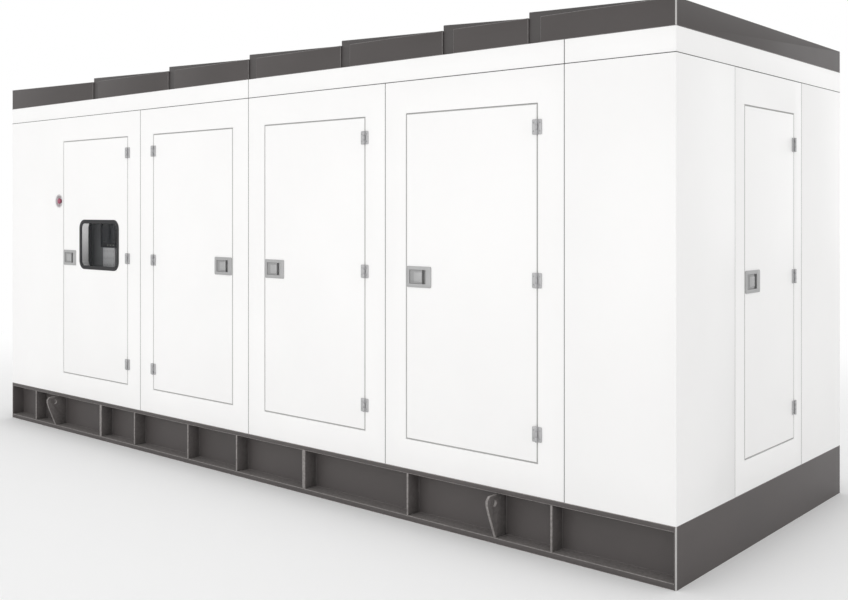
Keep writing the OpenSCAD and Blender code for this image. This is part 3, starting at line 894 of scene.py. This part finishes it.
def door_leaf(name, window):
    """A door's leaf, in its own axes."""
    bm = start()
    width = door_width(name)
    slab(bm, (door_gap / 2, 0, 0), (door_gap / 2 + width, leaf_t, leaf_h))
    if window:
        pierce(bm, (window_span[0], 0, window_rise[0]), (window_span[1], 0, window_rise[1]))
        corners = [e for e in bm.edges if runs(e, 1, leaf_t / 2)
                   and all(min(abs(v.co[i] - spot) for spot in span) < close
                           for v in e.verts for i, span in ((0, window_span), (2, window_rise)))]
        rounded(bm, corners, window_r, window_facets, smooth=False)
    bm.normal_update()
    back = [f for f in bm.faces if looks(f, 1, 1)]
    bmesh.ops.inset_region(bm, faces=back, thickness=lining_from_edge, depth=-lining_in,
                           use_boundary=True, use_even_offset=True)
    for face in back:
        face.material_index = 1
    bm.normal_update()
    outline = [e for e in facing_out(bm, 0, 1)
               if any(v.co.x < door_gap or v.co.x > width or v.co.z < close
                      or v.co.z > leaf_h - close for v in e.verts)]
    round_edges(bm, outline, leaf_bend, 3)
    first, last = pan_span(name)
    foot = latch_foot + pan_rim - pan_wall
    head = latch_foot + latch_h - pan_rim + pan_wall
    sunk(bm, (first, 0, foot), (last, 0, head), pan_sink)
    return bm


for name in opening_doors:
    bm = start()
    put(bm, door_leaf(name, name == control_door), places[name])
    keep(bm, name + "_panel", name, *lined_steel, name + "_leaf")

bm = start()
for name in opening_doors:
    put(bm, door_leaf(name, False), shut_places[name])
keep(bm, "shut_door_panels", fixed, *lined_steel, "fixed_doors")


# ---- door edge seals
# A pale grey rubber strip is clipped round the edge of each leaf and nearly fills the running
# gap. It keeps rain and noise in check just behind the face.
strip_out = 0.0052
strip_in = 0.001
strip_d = 0.007
strip_round = 0.0015
pale_rubber = coat("pale_rubber", (0.42, 0.42, 0.41), roughness=0.6, uneven=0.05, grain_depth=0.00006)


def edge_strip(name):
    """The strip round a door's leaf, in its own axes."""
    bm = start()
    low = Vector((door_gap / 2, strip_in, 0))
    high = Vector((door_gap / 2 + door_width(name), strip_in + strip_d, leaf_h))
    reach = Vector((strip_out, 0, strip_out))
    slab(bm, low - reach, high + reach)
    pierce(bm, low + reach / 10, high - reach / 10)
    outline = [e for e in sharp(bm, square_fold)
               if any(v.co[i] < (low - reach / 2)[i] or v.co[i] > (high + reach / 2)[i]
                      for v in e.verts for i in (0, 2))]
    round_edges(bm, outline, strip_round)
    return bm


def fit_doors(make, piece, shut_piece, coats, slot, replaced=(), shut_replaced=()):
    """Fits a part to each opening door, and the same to all the shut doors as one piece."""
    all_shut = start()
    for name in opening_doors:
        bm = start()
        put(bm, make(name), places[name])
        put(all_shut, make(name), shut_places[name])
        keep(bm, name + piece, name, coats, slot, *[name + node for node in replaced])
    keep(all_shut, shut_piece, fixed, coats, slot, *shut_replaced)


fit_doors(edge_strip, "_edge_seal", "shut_door_edge_seals", pale_rubber, "rubber_seal")


# ---- hinges
# Each door hangs on three lift-off hinges of zinc-plated steel plate with rolled knuckles. The
# plates are screwed to the faces of the door and of the wall, and a domed pin joins them.
hinge_h = 0.078
hinge_w = 0.029
hinge_t = 0.005
knuckle_r = 0.007
knuckle_edge = 0.0008
knuckle_gap = 0.001
bore_fit = 0.0002
pin_r = 0.004
pin_out = 0.008
tab_from_pin = 0.0015
plate_from_pin = 0.009
plate_lap = 0.001
plate_corner_r = 0.006
plate_edge_r = 0.0012
screw_r = 0.0044
screw_up = (0.018, 0.060)
plating = coat("zinc_plating", (0.44, 0.44, 0.445), roughness=0.42, metallic=0.3, uneven=0.04,
               wear_and_highlight=(0.52, 0.52, 0.52), wear_and_highlight_share=0.6, grain_size=0.002)
socket_painted_shade = coat("screw_socket_painted_shade", (0.10, 0.10, 0.10), roughness=0.6, metallic=0.3)


def hinge_feet(name):
    """The heights of a door's three hinges above the foot of its leaf."""
    low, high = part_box(name + "_hinges")
    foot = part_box(name + "_leaf")[0].z
    return low.z - foot, (low.z + high.z - hinge_h) / 2 - foot, high.z - hinge_h - foot


def lathe(outline, closed=False, steps=24):
    """Turns (radius, height) points round the Z axis; a closed outline makes a tube."""
    bm = start()
    verts = [bm.verts.new((r, 0, z)) for r, z in outline]
    pairs = list(zip(verts, verts[1:])) + ([(verts[-1], verts[0])] if closed else [])
    line = [bm.edges.new(pair) for pair in pairs]
    bmesh.ops.spin(bm, geom=verts + line, cent=(0, 0, 0), axis=(0, 0, 1), dvec=(0, 0, 0),
                   angle=math.radians(360), steps=steps, use_merge=True)
    bmesh.ops.remove_doubles(bm, verts=bm.verts, dist=1e-6)
    bmesh.ops.recalc_face_normals(bm, faces=bm.faces)
    for face in bm.faces:
        face.smooth = True
    return bm


def screw(bm, spot):
    """A low domed socket screw whose head stands on a front face."""
    r = screw_r
    part = lathe([(0, 0.25 * r), (0.42 * r, 0.25 * r), (0.46 * r, 0.42 * r), (0.8 * r, 0.34 * r),
                  (r, 0.08 * r), (r, -0.1 * r), (0, -0.1 * r)], steps=12)
    # The socket's shallow hollow takes a near-black coat, a painted shade.
    for face in part.faces:
        middle = face.calc_center_median()
        if middle.xy.length < 0.42 * r and middle.z > 0:
            face.material_index = 1
    turn = Vector((0, -1, 0)).to_track_quat("Z", "Y").to_matrix().to_4x4()
    put(bm, part, Matrix.Translation(spot) @ turn)


def hinge_half(bm, foot, knuckles, side):
    """One plate of a hinge with its knuckles, on one side of the pin."""
    plate = start()
    slab(plate, (plate_from_pin, -hinge_t, 0), (hinge_w, 0, hinge_h))
    outer = [e for e in plate.edges if runs(e, 1, hinge_t / 2) and e.verts[0].co.x > hinge_w - close]
    rounded(plate, outer, plate_corner_r, 5)
    round_edges(plate, facing_out(plate, -hinge_t, 1), plate_edge_r)
    for up in screw_up:
        screw(plate, ((plate_from_pin + hinge_w) / 2 + plate_lap, -hinge_t, up))
    third = hinge_h / 3
    for k in knuckles:
        low = k * third + (0 if k == 0 else knuckle_gap / 2)
        high = (k + 1) * third - (0 if k == 2 else knuckle_gap / 2)
        tab = start()
        slab(tab, (tab_from_pin, -hinge_t, low), (plate_from_pin + plate_lap, -bore_fit, high))
        put(plate, tab)
        inner, outer, edge = pin_r + bore_fit, knuckle_r, knuckle_edge
        roll = lathe([(inner, low), (outer - edge, low), (outer, low + edge),
                      (outer, high - edge), (outer - edge, high), (inner, high)], closed=True)
        put(plate, roll, Matrix.Translation((0, -pin_out, 0)))
    put(bm, plate, Matrix.Translation((0, 0, foot)) @ Matrix.Diagonal((side, 1, 1, 1)))


def hinge_pin(bm, foot):
    """A hinge's pin, domed at both ends."""
    r = pin_r
    part = lathe([(0, 0), (0.7 * r, 0.12 * r), (r, 0.4 * r), (r, hinge_h - 0.4 * r),
                  (0.7 * r, hinge_h - 0.12 * r), (0, hinge_h)], steps=16)
    put(bm, part, Matrix.Translation((0, -pin_out, foot)))


def hinges(name, on_door, on_wall):
    """A door's three hinges, or only what of them is on the door or on the wall."""
    bm = start()
    for foot in hinge_feet(name):
        if on_door:
            hinge_half(bm, foot, (1,), 1)
        if on_wall:
            hinge_half(bm, foot, (0, 2), -1)
            hinge_pin(bm, foot)
    return bm


wall_halves = start()
shut_hinges = start()
hinge_finish = ((plating, socket_painted_shade), "plated_hardware")
for name in opening_doors:
    bm = start()
    put(bm, hinges(name, True, False), places[name])
    keep(bm, name + "_hinge_plates", name, *hinge_finish, name + "_hinges")
    put(wall_halves, hinges(name, False, True), places[name])
    put(shut_hinges, hinges(name, True, True), shut_places[name])
keep(wall_halves, "wall_hinge_plates", fixed, *hinge_finish, "hinge_frame_leaves")
keep(shut_hinges, "shut_door_hinge_plates", fixed, *hinge_finish, "fixed_door_hinges")


# ---- paddle latches
# A pressed plate on the door's face carries a pan let into the door. In the pan sits a paddle
# with a raised pad, and the deep slot beside it takes the fingers.
latch_t = 0.005
latch_corner_r = 0.008
latch_edge_r = 0.0012
pan_d = 0.016
pan_floor = 0.002
pan_lip = 0.001
slot_w = 0.028
paddle_gap = 0.001
paddle_in = 0.0035
paddle_off_floor = 0.003
paddle_edge = 0.001
pad_in = 0.0008
pad_from_slot = 0.001
pad_w = 0.058
pad_h = 0.052
pad_back = 0.004
pad_edge = 0.0022
latch_zinc = coat("latch_zinc", (0.40, 0.40, 0.40), roughness=0.42, metallic=0.30, uneven=0.07,
                  wear_and_highlight=(0.56, 0.56, 0.56), grain_size=0.002)
# The paddle's darker zinc is painted shade round the raised pad, and the pan seen in the finger slot
# is darker still, a painted shadow.
paddle_painted_shade = coat("paddle_painted_shade", (0.32, 0.32, 0.32), roughness=0.5, metallic=0.30, uneven=0.10,
                wear_and_highlight=(0.45, 0.45, 0.45), grain_size=0.002)
pan_painted_shadow = coat("finger_slot_painted_shadow", (0.27, 0.27, 0.27), roughness=0.6, uneven=0.15)


def block(bm, low, high, radius, segments=2, number=0):
    """Adds a block with rounded edges between two corners, in one of the piece's coats."""
    part = start()
    slab(part, low, high)
    round_edges(part, sharp(part), radius, segments)
    put(bm, part, number=number)


def paddle_latch(name):
    """A door's latch, in the door's own axes."""
    bm = start()
    pan_low = Vector((pan_margin, 0, pan_rim))
    pan_high = Vector((latch_w - pan_rim, 0, latch_h - pan_rim))
    slab(bm, (0, -latch_t, 0), (latch_w, 0, latch_h))
    pierce(bm, pan_low, pan_high)
    corners = [e for e in bm.edges if runs(e, 1, latch_t / 2)
               and all(min(abs(e.verts[0].co[i]), abs(e.verts[0].co[i] - size)) < close
                       for i, size in ((0, latch_w), (2, latch_h)))]
    rounded(bm, corners, latch_corner_r, 5)
    round_edges(bm, facing_out(bm, -latch_t, 1), latch_edge_r)
    pan = start()
    wall = Vector((pan_floor, 0, pan_floor))
    lip = Vector((0, -pan_lip, 0))
    slab(pan, pan_low - wall + lip, pan_high + wall + Vector((0, pan_d, 0)))
    sunk(pan, pan_low + lip, pan_high + lip, pan_d - pan_floor)
    # The pan takes the darkest coat, a painted shadow in the slot.
    put(bm, pan, number=2)
    # The paddle takes the darker zinc, a painted shade round the pad.
    paddle_x = pan_margin + slot_w
    block(bm, (paddle_x, paddle_in - latch_t, pan_rim + paddle_gap),
          (latch_w - pan_rim - paddle_gap, pan_d - paddle_off_floor,
           latch_h - pan_rim - paddle_gap), paddle_edge, number=1)
    pad_x = paddle_x + pad_from_slot
    block(bm, (pad_x, pad_in - latch_t, (latch_h - pad_h) / 2),
          (pad_x + pad_w, pad_back, (latch_h + pad_h) / 2), pad_edge, 3)
    x, turned = latch_corner(name)
    turn = Matrix.Translation((latch_w, 0, 0)) @ Matrix.Diagonal((-1, 1, 1, 1))
    whole = start()
    put(whole, bm, Matrix.Translation((x, 0, latch_foot)) @ (turn if turned else Matrix()))
    return whole


fit_doors(paddle_latch, "_paddle_latch", "shut_door_paddle_latches",
          (latch_zinc, paddle_painted_shade, pan_painted_shadow), "plated_hardware", ["_latch"], ["fixed_door_latches"])


# ---- control window
# The tinted pane sits in a black rubber moulding that laps over the door's face and has a
# locking strip pressed into a channel all round. Behind it a white steel lining goes through
# the door and is flanged over the door's inner skin.
gasket_proud = 0.003
gasket_lining = 0.003
pane_in = 0.004
pane_t = 0.006
pane_clear = 0.10
pane_back = pane_in + pane_t
lip_t = 0.0022
window_lining_t = 0.0028
lining_past = 0.020
lining_flange = 0.016
gasket_rubber = coat("gasket_rubber", (0.022, 0.022, 0.024), roughness=0.55, uneven=0.12,
                     grain_size=0.002, grain_depth=0.00006, specular=0.3)
tinted = coat("tinted_pane", (0.05, 0.055, 0.06), roughness=0.05, uneven=0.05, grain_size=0.05,
              grain_depth=0.00001)
tinted.node_tree.nodes["Principled BSDF"].inputs["Alpha"].default_value = pane_clear


def window_loop(bm, out, depth):
    """A loop of edges along the window's outline, moved outwards and inwards by so much."""
    left, right = window_span[0] - out, window_span[1] + out
    foot, head = window_rise[0] - out, window_rise[1] + out
    corners = ((left, foot), (right, foot), (right, head), (left, head))
    face = bm.faces.new([bm.verts.new((x, depth, z)) for x, z in corners])
    rounded(bm, face.verts[:], window_r + out, window_facets, smooth=False, affect="VERTICES")
    face = next(f for f in bm.faces if len(f.verts) > 3 * window_facets)
    loop = face.edges[:]
    bmesh.ops.delete(bm, geom=[face], context="FACES_ONLY")
    return loop


def window_ring(section, smooth):
    """A ring round the window, from a closed section of outward and inward steps."""
    part = start()
    loops = [window_loop(part, out, depth) for out, depth in section]
    for first, second in zip(loops, loops[1:] + loops[:1]):
        bmesh.ops.bridge_loops(part, edges=first + second)
    bmesh.ops.recalc_face_normals(part, faces=part.faces)
    for face in part.faces:
        face.smooth = smooth
    bm = start()
    put(bm, part, places[control_door])
    return bm


section = [(gasket_lap - 0.0003, -0.0003), (gasket_lap, -0.0014), (gasket_lap - 0.0016, -0.0027),
           (gasket_lap - 0.004, -0.0029), (-0.003, -gasket_proud), (-0.0042, -0.0021),
           (-0.0085, -0.0022), (-0.0097, -gasket_proud), (-0.017, -0.0029), (-0.0205, -0.0016),
           (-gasket_w, 0.0008), (-gasket_w, pane_in - 0.0003), (-gasket_lining, pane_in - 0.0001),
           (-gasket_lining, pane_back + 0.0001), (-2 * gasket_lining, pane_back + 0.0002),
           (-2 * gasket_lining, pane_back + lip_t), (-0.0002, pane_back + lip_t + 0.0001),
           (-0.0002, -0.0001)]
keep(window_ring(section, smooth=True), "window_moulding", control_door, gasket_rubber,
     "rubber_seal", "window_gasket")
paint_node("window_glass", tinted)

lining_front = pane_back + lip_t + 0.0002
lining_back = leaf_t + lining_past
section = [(-window_lining_t, lining_front), (-window_lining_t, lining_back - 0.001),
           (-window_lining_t + 0.0006, lining_back - 0.0001), (-0.0006, lining_back),
           (0, lining_back - 0.001), (0, leaf_t + 0.0020),
           (lining_flange - 0.0005, leaf_t + 0.0019), (lining_flange, leaf_t + 0.0014),
           (lining_flange, leaf_t + 0.0002), (-0.0002, leaf_t + 0.0001),
           (-0.0002, lining_front + 0.0001)]
keep(window_ring(section, smooth=False), "window_lining", control_door, *white_steel)


# ---- control cabinet
# A steel cabinet of folded sheet stands on the deck behind the control door, painted dark
# grey. It has a door with a shadow gap, a plinth and a vent of pressed louvres.
cabinet_bend = 0.004
plinth_h = 0.10
door_line = 0.004
door_frame = 0.018
louvre_w = 0.22
louvre_h = 0.006
louvre_pitch = 0.018
louvre_out, louvre_back = 0.005, 0.002
louvre_round = 0.0022
louvres = 9
vent_up = 0.16
cabinet_paint = coat("cabinet_paint", (0.155, 0.157, 0.162), roughness=0.42, uneven=0.12,
                     wear_and_highlight=(0.24, 0.24, 0.245), wear_and_highlight_share=0.6, grain_size=0.003, grain_depth=0.0001)
bm = start()
block(bm, cabinet_low + Vector((0, door_line * 2, 0)), cabinet_high, cabinet_bend)
block(bm, cabinet_low + Vector((door_frame, 0, plinth_h)),
      (cabinet_high.x - door_frame, cabinet_low.y + door_line * 2.5, cabinet_high.z - door_frame),
      cabinet_bend)
middle = (cabinet_low.x + cabinet_high.x) / 2
for i in range(louvres):
    up = cabinet_low.z + plinth_h + vent_up + i * louvre_pitch
    block(bm, (middle - louvre_w / 2, cabinet_low.y - louvre_out, up),
          (middle + louvre_w / 2, cabinet_low.y + louvre_back, up + louvre_h), louvre_round, 3)
keep(bm, "control_cabinet_case", fixed, cabinet_paint, "cabinet_paint", "control_cabinet")


# ---- cable trunking
# Slotted cable trunking of black plastic runs up beside the cabinet. Its clipped lid is flat
# and laps over the fingers of both sides.
duct_low, duct_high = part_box("control_trunking")
duct_edge = 0.002
duct_side = 0.003
duct_base_t = 0.02
lid_t = 0.006
finger_w = 0.008
finger_pitch = 0.0125
finger_back = 0.015
duct_plastic = coat("trunking_plastic", (0.035, 0.035, 0.037), uneven=0.05, grain_size=0.002)
bm = start()
block(bm, duct_low, (duct_high.x, duct_low.y + lid_t, duct_high.z), duct_edge)
block(bm, (duct_low.x + duct_side, duct_high.y - duct_base_t, duct_low.z),
      (duct_high.x - duct_side, duct_high.y, duct_high.z), duct_edge)
fingers = start()
for x in (duct_low.x + duct_side, duct_high.x - 2 * duct_side):
    slab(fingers, (x, duct_low.y + lid_t / 2, duct_low.z + finger_pitch),
         (x + duct_side, duct_high.y - finger_back, duct_low.z + finger_pitch + finger_w))
finger = fingers.verts[:] + fingers.edges[:] + fingers.faces[:]
for i in range(1, int((duct_high.z - duct_low.z) / finger_pitch) - 1):
    made = bmesh.ops.duplicate(fingers, geom=finger)["geom"]
    bmesh.ops.translate(fingers, vec=(0, 0, i * finger_pitch), verts=verts_in(made))
put(bm, fingers)
keep(bm, "cable_trunking", fixed, duct_plastic, "trunking_plastic", "control_trunking")


# ---- display and keypad
# The controller is two moulded units on the cabinet's door: a black display with status lamps
# in its lower rim, and a pale keypad with plain keys.
case_edge = 0.003
screen_rim, screen_foot = 0.014, 0.036
screen_in = 0.002
lamp_r = 0.004
lamp_shares = (0.50, 0.68, 0.86)
unit_low, unit_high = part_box("control_instruments")
keypad_h = 0.156
keypad_left, keypad_right = 0.036, 0.012
parting = 0.003
key_w, key_h = 0.026, 0.018
key_out, key_back = 0.0012, 0.002
key_round = 0.0011
key_rows, key_columns = 3, 4
black_case = coat("display_case", (0.008, 0.008, 0.010), roughness=0.5, uneven=0.15,
                  grain_size=0.002, grain_depth=0.00003, specular=0.2)
screen_glass = coat("display_screen", (0.005, 0.006, 0.009), roughness=0.12, uneven=0.1,
                    grain_size=0.05, grain_depth=0.00001, specular=0.2)
lamp_lens = coat("status_lamps", (0.55, 0.55, 0.50), roughness=0.25, uneven=0.05)
pale_case = coat("keypad_case", (0.52, 0.52, 0.53), roughness=0.42, grain_size=0.002,
                 grain_depth=0.00003)
key_rubber = coat("keypad_keys", (0.46, 0.46, 0.47), roughness=0.5)
facing_front = Matrix.Rotation(math.radians(90), 4, "X")

bm = start()
foot = unit_low.z + keypad_h + parting
block(bm, (unit_low.x, unit_low.y, foot), unit_high, case_edge, 3)
glass = sunk(bm, (unit_low.x + screen_rim, unit_low.y, foot + screen_foot),
             (unit_high.x - screen_rim, unit_low.y, unit_high.z - screen_rim), screen_in)
glass.material_index = 1
for share in lamp_shares:
    dome = lathe([(0, 0.0015), (0.6 * lamp_r, 0.0012), (lamp_r, 0), (lamp_r, -0.001), (0, -0.001)],
                 steps=12)
    x = unit_low.x + share * (unit_high.x - unit_low.x)
    put(bm, dome, Matrix.Translation((x, unit_low.y, foot + screen_foot / 2)) @ facing_front,
        number=2)
keep(bm, "controller_display", fixed, (black_case, screen_glass, lamp_lens), "instrument_plastic",
     "control_instruments")

bm = start()
pad_left, pad_right = unit_low.x + keypad_left, unit_high.x - keypad_right
block(bm, (pad_left, unit_low.y, unit_low.z), (pad_right, unit_high.y, unit_low.z + keypad_h),
      case_edge, 3)
for row in range(key_rows):
    for column in range(key_columns):
        x = pad_left + (pad_right - pad_left) * (column + 0.5) / key_columns
        z = unit_low.z + keypad_h * (row + 0.5) / key_rows
        block(bm, (x - key_w / 2, unit_low.y - key_out, z - key_h / 2),
              (x + key_w / 2, unit_low.y + key_back, z + key_h / 2), key_round, number=1)
keep(bm, "controller_keypad", fixed, (pale_case, key_rubber), "instrument_plastic")


# ---- emergency stops
# A red mushroom button stands in a round grey cup let into each long wall beside the control
# door. The cup is turned with a flange, which covers the edge of the sheet's hole.
button_low, button_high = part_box("stop_buttons")
button_r = (button_high.x - button_low.x) / 2
collar_t = front - collar_low.y
button_out = front - button_low.y
cup_t = 0.002
cup_floor = cup_t - cup_d
head_d = 0.016
cup_grey = coat("stop_cup_plastic", (0.68, 0.67, 0.675), roughness=0.42, wear_and_highlight=(0.8, 0.8, 0.8),
                wear_and_highlight_share=0.4)
stop_red = coat("stop_button_plastic", (0.34, 0.075, 0.125), roughness=0.28)

cups = start()
buttons = start()
for side in (1, -1):
    face_out = (Matrix.Diagonal((1, side, 1, 1))
                @ Matrix.Translation((cup_axis.x, front, cup_axis.z)) @ facing_front)
    r, t = cup_r - cup_t, collar_t
    cup = lathe([(0, cup_floor), (r - 0.004, cup_floor), (r - 0.0012, cup_floor + 0.0012),
                 (r, cup_floor + 0.004), (r, t - 0.0015), (r + 0.0006, t - 0.0004), (r + 0.0016, t),
                 (collar_r - 0.002, t), (collar_r - 0.0006, t - 0.0006), (collar_r, t - 0.0018),
                 (collar_r, 0.0001), (cup_r, 0.0001), (cup_r, -cup_d), (0, -cup_d)], steps=48)
    put(cups, cup, face_out)
    r, t = button_r, button_out
    button = lathe([(0, t), (0.3 * r, t - 0.0002), (0.6 * r, t - 0.001), (0.82 * r, t - 0.0025),
                    (0.95 * r, t - 0.005), (r, t - 0.008), (r, t - head_d + 0.001),
                    (r - 0.001, t - head_d), (0.6 * r, t - head_d + 0.0005),
                    (0.6 * r, cup_floor - 0.0005), (0, cup_floor - 0.0005)], steps=40)
    put(buttons, button, face_out)
keep(cups, "stop_cups", fixed, cup_grey, "plated_hardware", "stop_collars")
keep(buttons, "stop_mushrooms", fixed, stop_red, "stop_red", "stop_buttons")

bpy.context.view_layer.update()
